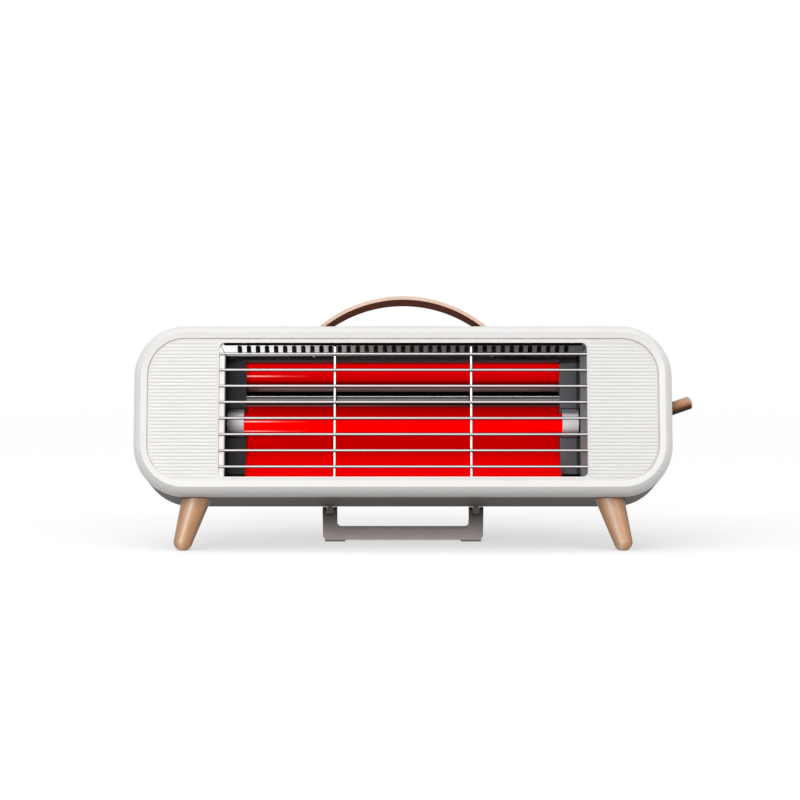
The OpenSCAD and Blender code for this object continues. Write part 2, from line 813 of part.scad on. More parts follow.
// Tongues below the underside that the stand's forked legs straddle. A heel behind
// each tongue stops the opened leg.
module stand_lugs() {
    for (s = [-1, 1]) side_slab(s*leg_x - lug_w/2, s*leg_x + lug_w/2) {
        translate([hinge_y, -hinge_drop]) circle(r = lug_r);
        translate([hinge_y - lug_r, -hinge_drop]) square([2*lug_r, hinge_drop + 2]);
        translate([hinge_y, -hinge_drop]) rotate(stand_lean + lean)
            translate([stand_t/2 + stop_gap, -stop_len])
                square([stop_t, stop_len + hinge_drop - 1.4]);
    }
}

// Thicker pads inside the floor where the feet are bolted on
module foot_seats() {
    for (s = [-1, 1]) translate([s*foot_x, foot_y, 0.5])
        cylinder(r = foot_seat_r, h = foot_seat_top - 0.5);
}

// Slots in the top wall that follow the strap's arch
module handle_slots() {
    y0 = handle_y - strap_w/2 - fit_gap;
    y1 = handle_y + strap_w/2 + fit_gap;
    intersection() {
        difference() {
            depth_bar(0, handle_c, handle_r + fit_gap, y0, y1);
            depth_bar(0, handle_c, handle_r - strap_t - fit_gap, y0 - 1, y1 + 1);
        }
        translate([-handle_r, y0 - 1, body_h - wall - 4])
            cube([2*handle_r, y1 - y0 + 2, wall + 8]);
    }
}

module rear_grille() {
    row_gap = grille_slot_len + 10;
    for (i = [0 : grille_count - 1], s = [-1, 1])
        translate([(i - (grille_count - 1)/2)*grille_pitch, 0, mid_z + s*row_gap/2])
            front_slab(body_d - wall - 1, body_d + 1) {
                h = grille_slot_len - grille_slot_w;
                square([grille_slot_w, h], center = true);
                for (e = [-1, 1]) translate([0, e*h/2]) circle(d = grille_slot_w, $fn = 24);
            }
}

module lever_slot() {
    half = lever_swing_half() + 1;
    translate([side_x - wall - 1, lever_y - lever_d/2 - lever_slot_gap, lever_z - half])
        cube([wall + 2, lever_d + 2*lever_slot_gap, 2*half]);
}
// Half the height that the lever sweeps at the outside of the side wall
function lever_swing_half() = pivot_in*tan(lever_up) + lever_d/2/cos(lever_up);

module shell_screws() {
    color(steel) in_casing() at_bosses() {
        depth_bar(0, 0, case_screw_r, pillar_back - 15, case_head_y);
        depth_bar(0, 0, case_head_r, case_head_y, case_head_y + case_head_h);
    }
}

// Gland where the supply cord enters
module cord_gland() {
    color(black_paint) in_casing() difference() {
        union() {
            depth_bar(gland_x, gland_z, gland_r + gland_flange, body_d, body_d + gland_flange_t);
            depth_bar(gland_x, gland_z, gland_r + gland_wall, body_d - wall - gland_reach, body_d + 1);
        }
        depth_bar(gland_x, gland_z, gland_r, body_d - wall - gland_reach - 1,
            body_d + gland_flange_t + 1);
    }
}

module gland_nut() {
    color(black_paint) in_casing() difference() {
        depth_bar(gland_x, gland_z, gland_r + nut_rim, body_d - wall - 5, body_d - wall - 0.1);
        depth_bar(gland_x, gland_z, gland_r + gland_wall + hole_gap, body_d - wall - 6,
            body_d - wall + 1);
    }
}

// Terminal block on the floor of the casing
module terminal_block() {
    third = block_w/3;
    at = [gland_x - block_in, inner_back - block_d, wall];
    color("#e8e4d8") in_casing() translate(at) difference() {
        cube([block_w, block_d, block_h]);
        for (i = [0.5 : 2.5]) {
            translate([third*i, block_d/2, block_h/2])
                cylinder(d = block_hole_d, h = block_h, $fn = 32);
            depth_bar(third*i, block_h/3, block_hole_d*0.4, -1, block_d + 1);
        }
    }
}

// Switch that cuts the power when the heater falls over
module tip_over_switch() {
    x0 = corner_r - side_x + fit_gap;
    color(black_paint) in_casing() translate([x0, inner_back - tip_d, wall]) {
        translate([tip_tab, 0, 0]) cube([tip_w, tip_d, tip_h]);
        translate([0, tip_d/5, 0]) cube([tip_w + 2*tip_tab, tip_d*0.6, wall]);
    }
}

// Bimetal cut-out on a bracket behind the lower reflector
module thermal_cutout() {
    y0 = low_tube_y + focal + sheet_t + 0.2;
    y1 = y0 + sheet_t + cutout_h;
    color(steel) in_casing() {
        translate([-bracket_w/2, y0, low_tube_z - bracket_h/2])
            cube([bracket_w, sheet_t, bracket_h]);
        depth_bar(0, low_tube_z, cutout_r, y0 + sheet_t, y1);
        for (s = [-1, 1]) translate([s*cutout_r/2 - 1.5, y1, low_tube_z - blade_t/2])
            cube([3, blade_len, blade_t]);
    }
}

// ---------- handle ----------

module handle_strap() {
    y0 = handle_y - strap_w/2;
    end_z = body_h - wall - anchor_h + 2;
    color(wood_tone) in_casing() difference() {
        front_slab(y0, y0 + strap_w) intersection() {
            translate([0, handle_c]) difference() {
                circle(r = handle_r, $fn = 180);
                circle(r = handle_r - strap_t, $fn = 180);
            }
            translate([-handle_r, end_z]) square([2*handle_r, handle_r]);
        }
        both_sides() at_handle_screws() translate([0, 0, handle_r - strap_t - 2])
            cylinder(r = handle_screw_r + fit_gap, h = strap_t + 4);
    }
}

// Places of the two screws in the right end, pointing outwards from the arch's centre
module at_handle_screws() {
    translate([0, handle_y, handle_c]) rotate([0, anchor_angle, 0])
        for (y = [-strap_w/4, strap_w/4]) translate([0, y, 0]) children();
}

module handle_anchors() {
    x_mid = (handle_r - strap_t/2)*sin(anchor_angle);
    color(black_paint) in_casing() both_sides() difference() {
        translate([x_mid - anchor_w/2, handle_y - strap_w/2 - anchor_edge, body_h - wall - anchor_h])
            cube([anchor_w, strap_w + 2*anchor_edge, anchor_h]);
        difference() {
            depth_bar(0, handle_c, handle_r + hole_gap, handle_y - strap_w/2 - hole_gap,
                handle_y + strap_w/2 + hole_gap);
            depth_bar(0, handle_c, handle_r - strap_t - hole_gap, 0, body_d);
        }
        // sloping seat for the screw heads
        translate([0, handle_y, handle_c]) rotate([0, anchor_angle, 0])
            translate([-anchor_w, -strap_w, screw_r0 - 2*anchor_h])
                cube([2*anchor_w, 2*strap_w, 2*anchor_h]);
        at_handle_screws() cylinder(r = handle_screw_r + hole_gap, h = screw_r1 + hole_gap);
    }
}

module handle_screws() {
    color(steel) in_casing() both_sides() at_handle_screws() {
        translate([0, 0, screw_r0 - handle_head_h]) cylinder(r = handle_head_r, h = handle_head_h);
        translate([0, 0, screw_r0 - 0.5]) cylinder(r = handle_screw_r, h = screw_r1 - screw_r0);
    }
}

// ---------- feet ----------

// A tapered foot with a rounded end, cut flat by the floor and by the casing's underside
module foot_solid() {
    difference() {
        intersection() {
            translate([-body_w, -body_d, 0]) cube([2*body_w, 2*body_d, body_h]);
            in_casing() difference() {
                translate([foot_x, foot_y, 0]) rotate([0, 180 - splay, 0])
                    translate([0, 0, -foot_root]) union() {
                        cylinder(r1 = foot_cone_r(-foot_root), r2 = foot_end_r, h = foot_len + foot_root);
                        translate([0, 0, foot_len + foot_root]) sphere(r = foot_end_r);
                    }
                cube([body_w, body_d, body_h]);
            }
        }
        in_casing() translate([foot_x, foot_y, -foot_bolt_in - 1])
            cylinder(d = foot_bolt_d + hole_gap, h = 2*foot_bolt_in);
    }
}
function foot_cone_r(z) = foot_top_r + (foot_end_r - foot_top_r)*z/foot_len;
module foot_right() { color(wood_tone) foot_solid(); }
module foot_left() {
    color(wood_tone) translate([shift_x, 0, 0]) mirror([1, 0, 0]) translate([-shift_x, 0, 0]) foot_solid();
}

module foot_bolts() {
    color(steel) in_casing() for (s = [-1, 1]) translate([s*foot_x, foot_y, 0]) {
        translate([0, 0, -foot_bolt_in]) cylinder(d = foot_bolt_d, h = foot_bolt_in + foot_seat_top);
        translate([0, 0, foot_seat_top]) cylinder(d = foot_head_d, h = foot_head_h);
    }
}

// ---------- folding stand ----------

// Frame on the hinge axis, with the leg hanging along -Z
module on_hinge() {
    translate([shift_x, axis_y, axis_z]) rotate([stand_lean, 0, 0]) children();
}

module stand_bracket() {
    color(grey_plastic) on_hinge() difference() {
        union() {
            front_slab(-stand_t/2, stand_t/2) stand_outline();
            both_sides() cross_bar(0, 0, knuckle_r, leg_x - leg_w/2, leg_x + leg_w/2);
        }
        both_sides() {
            // slot of the fork, deep enough for the lug to turn in
            translate([leg_x - slot_half, -2*lug_r, -lug_r - stop_gap])
                cube([2*slot_half, 4*lug_r, 4*lug_r]);
            cross_bar(0, 0, hinge_pin_d/2 + pin_gap, leg_x - leg_w, leg_x + leg_w);
        }
    }
}

// Front view of the stand below its hinge: a U with rounded corners
module stand_outline() {
    inner = stand_w - 2*leg_w;
    difference() {
        union() {
            translate([-stand_w/2, bar_outer_r - bar_low]) square([stand_w, bar_low - bar_outer_r]);
            translate([bar_outer_r - stand_w/2, -bar_low]) square([stand_w - 2*bar_outer_r, bar_low]);
            for (s = [-1, 1]) translate([s*(stand_w/2 - bar_outer_r), bar_outer_r - bar_low])
                circle(r = bar_outer_r, $fn = 32);
        }
        translate([-inner/2, bar_h + bar_inner_r - bar_low]) square([inner, bar_low]);
        translate([bar_inner_r - inner/2, bar_h - bar_low])
            square([inner - 2*bar_inner_r, bar_low]);
        for (s = [-1, 1]) translate([s*(inner/2 - bar_inner_r), bar_h + bar_inner_r - bar_low])
            circle(r = bar_inner_r, $fn = 32);
    }
}

module stand_pads() {
    depth = 2*pad_h + stand_t*sin(stand_lean) + 1;
    color("#3a3838") intersection() {
        on_hinge() both_sides()
            translate([stand_w/2 - pad_in - pad_len, -stand_t/2, -bar_low - depth])
                cube([pad_len, stand_t, depth]);
        translate([-body_w, -body_d, 0]) cube([2*body_w, 2*body_d, body_h]);
    }
}

module stand_pins() {
    color(steel) in_casing() both_sides()
        cross_bar(hinge_y, -hinge_drop, hinge_pin_d/2, leg_x - leg_w/2 + 0.6, leg_x + leg_w/2 - 0.6);
}

// ---------- lever and switch ----------

module switch_lever() {
    color(wood_tone) in_casing() translate([pivot_x, lever_y, lever_z]) difference() {
        union() {
            rotate([0, 90 - lever_up, 0]) intersection() {
                cylinder(d = lever_d, h = lever_len + 1);
                translate([0, 0, lever_len - lever_dome_r]) union() {
                    sphere(r = lever_dome_r);
                    translate([0, 0, -lever_len]) cylinder(r = lever_dome_r, h = lever_len);
                }
            }
            depth_bar(0, 0, hub_r, hub_in - lever_d/2, lever_d/2 - hub_in);
        }
        depth_bar(0, 0, pivot_d/2 + pin_gap, -lever_d, lever_d);
    }
}

module lever_pin() {
    reach = lever_d/2 + cheek_gap + cheek_t;
    color(steel) in_casing() depth_bar(pivot_x, lever_z, pivot_d/2, lever_y - reach, lever_y + reach);
}

// Switch behind the lever, with two cheeks that carry the pivot pin
module switch_body() {
    y0 = lever_y - lever_d/2 - cheek_gap - cheek_t;
    y1 = lever_y + lever_d/2 + cheek_gap + cheek_t;
    cheek_len = side_x - wall - switch_x + cheek_t;
    color(black_paint) in_casing() difference() {
        union() {
            translate([switch_x - switch_w, y0 - cheek_t, lever_z - switch_h/2])
                cube([switch_w, y1 - y0 + 2*cheek_t, switch_h]);
            for (y = [y0, y1 - cheek_t])
                translate([switch_x - cheek_t, y, lever_z - 0.3*switch_h])
                    cube([cheek_len, cheek_t, 0.6*switch_h]);
        }
        depth_bar(pivot_x, lever_z, pivot_d/2 + 0.02, y0 - 5, y1 + 5);
    }
}

module switch_terminals() {
    x0 = switch_x - switch_w - blade_len;
    color("#c9a860") in_casing() for (s = [-1, 0, 1])
        translate([x0, lever_y - blade_w/2, lever_z + 0.3*s*switch_h - blade_t/2])
            cube([blade_len, blade_w, blade_t]);
}

front_ring();
face_panel();
panel_screws();
guard_wires();
guard_uprights();
vent_strip();
side_liner_left();
side_liner_right();
bottom_liner();
upper_reflector();
lower_reflector();
reflector_rail();
end_plate_left();
end_plate_right();
upper_tube();
lower_tube();
upper_coil();
lower_coil();
upper_tube_caps();
lower_tube_caps();
tube_studs();
rear_shell();
shell_screws();
cord_gland();
gland_nut();
terminal_block();
tip_over_switch();
thermal_cutout();
handle_strap();
handle_anchors();
handle_screws();
foot_left();
foot_right();
foot_bolts();
stand_bracket();
stand_pads();
stand_pins();
switch_lever();
lever_pin();
switch_body();
switch_terminals();
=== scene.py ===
"""Looks of the electric bar heater: camera, studio, every finish and one added black strip of painted
shade under the window's top edge.
"""
import math

import bmesh
import bpy
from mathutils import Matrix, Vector


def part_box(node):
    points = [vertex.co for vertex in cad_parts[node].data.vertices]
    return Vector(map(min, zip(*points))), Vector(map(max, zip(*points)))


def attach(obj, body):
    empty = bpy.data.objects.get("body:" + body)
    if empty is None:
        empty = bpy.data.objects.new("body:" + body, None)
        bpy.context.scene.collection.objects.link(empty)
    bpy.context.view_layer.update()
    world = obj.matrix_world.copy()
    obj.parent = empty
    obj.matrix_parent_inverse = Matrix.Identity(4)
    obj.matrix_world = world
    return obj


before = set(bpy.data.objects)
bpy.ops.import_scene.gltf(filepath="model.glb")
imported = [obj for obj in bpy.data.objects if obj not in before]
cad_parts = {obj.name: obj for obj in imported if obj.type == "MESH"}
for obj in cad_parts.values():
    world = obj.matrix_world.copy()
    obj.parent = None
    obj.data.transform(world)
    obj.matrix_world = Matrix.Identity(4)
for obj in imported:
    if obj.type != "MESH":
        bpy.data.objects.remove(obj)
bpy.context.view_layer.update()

# Camera. The heater is seen square on from 2 m, from a little above its top, with a
# long lens: the casing's rear edges stay hidden and only the feet show their depth.
MM = 0.001
RING_LOW, RING_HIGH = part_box("front_ring")
CAMERA_DISTANCE = 2000 * MM
CAMERA_HEIGHT = 217.9 * MM
CAMERA_SIDE = -2.3 * MM
CAMERA_DOWN = 3.0
LENS_MM = 122.0
# the distance is taken from the casing's widest line, at its front crest
WIDEST_LINE_Y = -47.4 * MM

casing_middle = (RING_LOW.x + RING_HIGH.x) / 2
camera_data = bpy.data.cameras.new("camera")
camera_data.lens = LENS_MM
camera_data.sensor_width = 36.0
camera_data.clip_end = 50.0
camera = bpy.data.objects.new("camera", camera_data)
camera.location = (casing_middle + CAMERA_SIDE, WIDEST_LINE_Y - CAMERA_DISTANCE, CAMERA_HEIGHT)
camera.rotation_euler = (math.radians(90 - CAMERA_DOWN), 0, 0)
bpy.context.scene.collection.objects.link(camera)
bpy.context.scene.camera = camera
bpy.context.scene.view_settings.view_transform = "Standard"

# World. Plain white behind the heater, for the eye and in gloss and glass. The light
# that falls on the heater from it is soft and comes mostly from the front and above.
WORLD_WHITE = 1.0
FRONT_LIGHT = 0.76
REAR_LIGHT = 0.12
LIGHT_FROM = (0.0, -0.8, 0.6)


def linear(hex_colour):
    """sRGB hex text to a linear RGBA tuple."""
    channels = [int(hex_colour[i:i + 2], 16) / 255 for i in (1, 3, 5)]
    return tuple(c / 12.92 if c <= 0.04045 else ((c + 0.055) / 1.055) ** 2.4 for c in channels) + (1.0,)


def add_node(tree, kind, inputs=None, links=None, **settings):
    """Adds a node with its settings, input values and links {input: (node, output)}."""
    node = tree.nodes.new(kind)
    for key, value in settings.items():
        setattr(node, key, value)
    for key, value in (inputs or {}).items():
        node.inputs[key].default_value = value
    for key, (source, output) in (links or {}).items():
        tree.links.new(source.outputs[output], node.inputs[key])
    return node


def white_to_the_eye(tree):
    """1 on camera, glossy and transmission rays, 0 on the rays that carry soft light."""
    path = add_node(tree, "ShaderNodeLightPath")
    seen = add_node(tree, "ShaderNodeMath", operation="MAXIMUM",
                    links={0: (path, "Is Camera Ray"), 1: (path, "Is Glossy Ray")})
    return add_node(tree, "ShaderNodeMath", operation="MAXIMUM",
                    links={0: (seen, 0), 1: (path, "Is Transmission Ray")})


world = bpy.data.worlds.new("studio_white")
bpy.context.scene.world = world
world.use_nodes = True
tree = world.node_tree
tree.nodes.clear()
direction = add_node(tree, "ShaderNodeTexCoord")
toward = add_node(tree, "ShaderNodeVectorMath", {1: LIGHT_FROM}, {0: (direction, "Generated")},
                  operation="DOT_PRODUCT")
amount = add_node(tree, "ShaderNodeMapRange", {"From Min": -1.0, "From Max": 1.0,
                  "To Min": REAR_LIGHT, "To Max": FRONT_LIGHT}, {"Value": (toward, "Value")})
soft_light = add_node(tree, "ShaderNodeBackground", {"Color": linear("#ffffff")},
                      {"Strength": (amount, "Result")})
backdrop = add_node(tree, "ShaderNodeBackground",
                    {"Color": linear("#ffffff"), "Strength": WORLD_WHITE})
mixed = add_node(tree, "ShaderNodeMixShader",
                 links={0: (white_to_the_eye(tree), 0), 1: (soft_light, 0), 2: (backdrop, 0)})
add_node(tree, "ShaderNodeOutputWorld", links={"Surface": (mixed, 0)})

# Lamps. A tall soft box at the left front makes the broad highlights and throws the
# shadows to the right and back; one above lights the top edges, one at the right fills.
LAMP_AIM = (casing_middle, 0.0, 100 * MM)


def soft_box(name, place, size, watts):
    """A rectangular soft box at a place in metres, aimed at the middle of the heater."""
    lamp = bpy.data.lights.new(name, "AREA")
    lamp.shape = "RECTANGLE"
    lamp.size, lamp.size_y = size
    lamp.energy = watts
    box = bpy.data.objects.new(name, lamp)
    box.location = place
    box.rotation_euler = (Vector(LAMP_AIM) - Vector(place)).to_track_quat("-Z", "Y").to_euler()
    bpy.context.scene.collection.objects.link(box)


soft_box("key_box", (-0.62, -1.35, 0.5), size=(0.45, 0.9), watts=7.0)
soft_box("top_box", (-0.3, -0.5, 1.5), size=(0.8, 0.6), watts=1.8)
soft_box("fill_box", (1.2, -1.3, 0.5), size=(0.8, 0.8), watts=5.7)

# Floor. A seamless sheet of matt paper. What the eye and the gloss see of it is lifted
# to the white behind it, less a soft shadow that falls away from the lamps; its own grey
# throws only a weak light back up. Far out it fades into the backdrop.
FLOOR_HALF = 3.0
FLOOR_DROP = 0.2 * MM
FADE_START, FADE_END = 0.9, 2.4
PAPER_GREY = "#9c9c9c"
FLOOR_GLOW = 0.785
CONTACT_GLOW = 0.34
SHADOW_REACH = 260 * MM
LAMP_SIDE = (-0.4, -0.85, 0.32)

form = bmesh.new()
bmesh.ops.create_grid(form, x_segments=1, y_segments=1, size=FLOOR_HALF)
bmesh.ops.translate(form, verts=form.verts, vec=(0, 0, -FLOOR_DROP))
floor_mesh = bpy.data.meshes.new("floor")
form.to_mesh(floor_mesh)
form.free()
floor = bpy.data.objects.new("floor", floor_mesh)
bpy.context.scene.collection.objects.link(floor)

paper = bpy.data.materials.new("seamless_paper")
paper.use_nodes = True
tree = paper.node_tree
tree.nodes.clear()
sheet = add_node(tree, "ShaderNodeBsdfDiffuse", {"Color": linear(PAPER_GREY)})
# how open the floor lies towards the lamps: the shadow falls to the back and the right
lamp_side = add_node(tree, "ShaderNodeCombineXYZ",
                     {"X": LAMP_SIDE[0], "Y": LAMP_SIDE[1], "Z": LAMP_SIDE[2]})
openness = add_node(tree, "ShaderNodeAmbientOcclusion", {"Distance": SHADOW_REACH},
                    {"Normal": (lamp_side, 0)}, samples=16)
shadow = add_node(tree, "ShaderNodeMapRange", {"To Min": CONTACT_GLOW, "To Max": FLOOR_GLOW},
                  {"Value": (openness, "AO")})
lift = add_node(tree, "ShaderNodeMath", links={0: (white_to_the_eye(tree), 0), 1: (shadow, 0)},
                operation="MULTIPLY")
glow = add_node(tree, "ShaderNodeEmission", {"Color": linear("#ffffff")}, {"Strength": (lift, 0)})
lit = add_node(tree, "ShaderNodeAddShader", links={0: (sheet, 0), 1: (glow, 0)})
clear = add_node(tree, "ShaderNodeBsdfTransparent")
place = add_node(tree, "ShaderNodeTexCoord")
reach = add_node(tree, "ShaderNodeVectorMath", links={0: (place, "Object")}, operation="LENGTH")
fade = add_node(tree, "ShaderNodeMapRange", {"From Min": FADE_START, "From Max": FADE_END},
                {"Value": (reach, "Value")}, interpolation_type="SMOOTHSTEP")
blend = add_node(tree, "ShaderNodeMixShader", links={0: (fade, "Result"), 1: (lit, 0), 2: (clear, 0)})
add_node(tree, "ShaderNodeOutputMaterial", links={"Surface": (blend, 0)})
floor_mesh.materials.append(paper)

# Front ring and face panel. Two injection mouldings in off-white ABS. The panel lies in
# the ring with a narrow groove round it, and its ribs fill the fields beside the window.
RING_WHITE, RING_SHADE = "#f5f3f1", "#f3f1ee"
PANEL_WHITE, PANEL_SHADE = "#f0eeec", "#edebe8"
# the real spark grain is near 0.1 mm; it is drawn at 1.6 mm, so that it shows
MOULD_GRAIN_MM = 1.6
GRAIN_RELIEF = 0.06
GLOSS_SPREAD = 0.04
# patches of tone that the plastic's flow in the mould leaves
FLOW_MM = 40
NOISE_LOW, NOISE_HIGH = 0.3, 0.7


def new_material(name, **values):
    """A material on a Principled shader, with values set on the shader's own sockets."""
    material = bpy.data.materials.new(name)
    material.use_nodes = True
    shader = material.node_tree.nodes["Principled BSDF"]
    for key, value in values.items():
        shader.inputs[key.replace("_", " ")].default_value = value
    return material, material.node_tree, shader


def feed(tree, source, shader, *sockets):
    """Runs the first output of a node into these sockets of the shader."""
    for socket in sockets:
        tree.links.new(source.outputs[0], shader.inputs[socket])


def cloudy(tree, size_mm, stretch=(1.0, 1.0, 1.0)):
    """Soft noise fixed to the object, with patches of this size, drawn out by stretch."""
    place = add_node(tree, "ShaderNodeTexCoord")
    along = add_node(tree, "ShaderNodeMapping", {"Scale": stretch}, {"Vector": (place, "Object")})
    return add_node(tree, "ShaderNodeTexNoise", {"Scale": 1.0 / (size_mm * MM), "Detail": 3.0},
                    {"Vector": (along, "Vector")})


def tone_along(tree, source, output, stops):
    """Colour that runs along a value through the given (value, sRGB hex) stops."""
    low, high = stops[0][0], stops[-1][0]
    along = add_node(tree, "ShaderNodeMapRange", {"From Min": low, "From Max": high},
                     {"Value": (source, output)})
    ramp = add_node(tree, "ShaderNodeValToRGB", links={"Fac": (along, "Result")})
    marks = ramp.color_ramp.elements
    while len(marks) < len(stops):
        marks.new(1.0)
    for mark, (value, colour) in zip(marks, stops):
        mark.position = (value - low) / (high - low)
        mark.color = linear(colour)
    return ramp


def mottled(tree, noise, colour, shade):
    """A colour that wanders to its shade and back with a noise."""
    return tone_along(tree, noise, "Fac", [(NOISE_LOW, colour), (NOISE_HIGH, shade)])


def gloss_from(tree, shader, noise, low, high):
    """Roughness that wanders between low and high with a noise."""
    spread = add_node(tree, "ShaderNodeMapRange", {"To Min": low, "To Max": high},
                      {"Value": (noise, "Fac")})
    feed(tree, spread, shader, "Roughness")


def relief_on(tree, shader, noise, strength):
    """Fine relief of at most a tenth of a millimetre from a noise."""
    relief = add_node(tree, "ShaderNodeBump", {"Strength": strength, "Distance": 0.1 * MM},
                      {"Height": (noise, "Fac")})
    feed(tree, relief, shader, "Normal")


def dress(material, *nodes):
    """Gives CAD nodes this material on every slot they have."""
    for name in nodes:
        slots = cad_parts[name].data.materials
        if not slots:
            slots.append(material)
        for i in range(len(slots)):
            slots[i] = material


def moulded_plastic(name, colour, shade, roughness, grain_mm=MOULD_GRAIN_MM, gloss=0.5):
    """ABS, nylon or rubber from a spark-eroded mould: an even satin with a very fine grain."""
    material, tree, shader = new_material(name, IOR=1.53, Specular_IOR_Level=gloss)
    feed(tree, mottled(tree, cloudy(tree, FLOW_MM), colour, shade), shader, "Base Color")
    grain = cloudy(tree, grain_mm)
    gloss_from(tree, shader, grain, roughness - GLOSS_SPREAD, roughness + GLOSS_SPREAD)
    relief_on(tree, shader, grain, strength=GRAIN_RELIEF)
    return material


# moulded ABS: a soft silky shine; the ring is the whiter of the two
ring_abs = moulded_plastic("white_abs_satin", RING_WHITE, RING_SHADE, roughness=0.4)
panel_abs = moulded_plastic("white_abs_ribbed", PANEL_WHITE, PANEL_SHADE, roughness=0.4)
dress(ring_abs, "front_ring")
dress(panel_abs, "face_panel")

# Shadow strip. A black strip, 1.3 mm thick, under the window's top edge: painted shade, a dark
# sheet put where the edge's shade falls; from the front it draws the dark line above the vent strip.
# its sizes are in the casing's upright frame: X from the middle, Y behind the front
# crest and Z above the underside, in mm
SHADOW_STRIP_HALF = 133
SHADOW_STRIP_FRONT, SHADOW_STRIP_BACK = 2.9, 7.2
SHADOW_STRIP_TOP, SHADOW_STRIP_T = 113.7, 1.3
SHADOW_STRIP_ROUND = 0.35
SHADOW_STRIP_GRAIN_MM = 0.8
LEAN = 11.1
RING_DEPTH = 12.5
CASING_ZERO = (-9.7243, -47.4525, 41.5)


def casing_point(x, y, z):
    """World point, in metres, of a point in the casing's upright frame, in mm."""
    lean = math.radians(LEAN)
    depth = y - RING_DEPTH
    return Vector((x + CASING_ZERO[0],
                   depth * math.cos(lean) + z * math.sin(lean) + CASING_ZERO[1],
                   z * math.cos(lean) - depth * math.sin(lean) + CASING_ZERO[2])) * MM


form = bmesh.new()
bmesh.ops.create_cube(form, size=1.0)
bmesh.ops.scale(form, vec=(2 * SHADOW_STRIP_HALF, SHADOW_STRIP_BACK - SHADOW_STRIP_FRONT, SHADOW_STRIP_T), verts=form.verts)
bmesh.ops.translate(form, vec=(0, (SHADOW_STRIP_FRONT + SHADOW_STRIP_BACK) / 2, SHADOW_STRIP_TOP - SHADOW_STRIP_T / 2),
                    verts=form.verts)
bmesh.ops.bevel(form, geom=form.edges[:], offset=SHADOW_STRIP_ROUND, affect="EDGES", segments=3,
                profile=0.5, material=-1)
for vert in form.verts:
    vert.co = casing_point(*vert.co)
bmesh.ops.recalc_face_normals(form, faces=form.faces)
shadow_strip_mesh = bpy.data.meshes.new("window_shadow_strip")
form.to_mesh(shadow_strip_mesh)
form.free()
window_shadow_strip = bpy.data.objects.new("window_shadow_strip", shadow_strip_mesh)
bpy.context.scene.collection.objects.link(window_shadow_strip)

# painted shade: plain black, without any shine
cord, tree, shader = new_material("black_painted_shadow_strip", Roughness=0.9, Specular_IOR_Level=0.0)
feed(tree, mottled(tree, cloudy(tree, SHADOW_STRIP_GRAIN_MM), "#060505", "#100e0e"), shader, "Base Color")
shadow_strip_mesh.materials.append(cord)
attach(window_shadow_strip, "heater")

# Guard. Eight wires across the window and two uprights close behind them, of drawn and
# chromed steel, with their ends in holes of the window's rim. Each has a painted highlight,
# one clean line of light, and painted shade on the side away from it.
DRAWN_MM = 12


def facing(tree):
    """The direction a surface of the piece faces, split in X, Y, Z."""
    place = add_node(tree, "ShaderNodeTexCoord")
    return add_node(tree, "ShaderNodeSeparateXYZ", links={"Vector": (place, "Normal")})


def chromed_wire(name, axis, stops):
    """Chromed steel wire: a mirror, toned by the way it faces, with a painted highlight line and
    painted shade off that line.
    """
    material, tree, shader = new_material(name, Metallic=1.0)
    feed(tree, tone_along(tree, facing(tree), axis, stops), shader, "Base Color")
    gloss_from(tree, shader, cloudy(tree, DRAWN_MM), low=0.12, high=0.18)
    return material


# tones by facing: painted highlight and painted shade
wire_across = chromed_wire("chromed_wire_across", "Z", [
    (-1.0, "#151213"), (-0.7, "#2c2728"), (-0.4, "#6e6668"), (-0.12, "#b8b0b2"), (0.04, "#ffffff"),
    (0.3, "#ffffff"), (0.55, "#b0a8aa"), (1.0, "#8c8486")])
wire_upright = chromed_wire("chromed_wire_upright", "X", [
    (-1.0, "#4a4446"), (-0.75, "#f4f2f3"), (-0.05, "#ffffff"), (0.25, "#c8c2c4"), (0.5, "#7a7274"),
    (1.0, "#2c2728")])
dress(wire_across, "guard_wires")
dress(wire_upright, "guard_uprights")

# Liners. Thin rolled aluminium strips, anodised pale, that lead from the window back to
# the reflectors; the top one is slotted. Screws hold them to the panel's bosses. Painted
# light makes them whiter at the left than at the right, with a painted glow at the left.
# real rolled lines lie about 0.2 mm apart; they are drawn 1.6 mm apart, so that they show
ROLLED_MM = 1.6
# a noise drawn out into lines, across the casing or up it
ALONG_X = (0.02, 1.0, 1.0)
ALONG_Z = (1.0, 1.0, 0.02)
NO_PAINTED_LIGHT = ((-137, "#000000"), (137, "#000000"))
PAINTED_LIGHT_GLOW = 0.58


def casing_place(tree):
    """Object coordinates turned into the casing's upright frame, in mm, split in X, Y, Z."""
    lean = math.radians(LEAN)
    x, y, z = CASING_ZERO
    zero = (-x, RING_DEPTH - y * math.cos(lean) + z * math.sin(lean),
            -y * math.sin(lean) - z * math.cos(lean))
    place = add_node(tree, "ShaderNodeTexCoord")
    turned = add_node(tree, "ShaderNodeMapping", {"Location": zero, "Rotation": (lean, 0, 0),
                      "Scale": (1 / MM, 1 / MM, 1 / MM)}, {"Vector": (place, "Object")})
    return add_node(tree, "ShaderNodeSeparateXYZ", links={"Vector": (turned, "Vector")})


def dimmed(tree, colour, *films):
    """A colour seen through one film of colour after another."""
    for film in films:
        colour = add_node(tree, "ShaderNodeVectorMath", links={0: (colour, 0), 1: (film, 0)},
                          operation="MULTIPLY")
    return colour


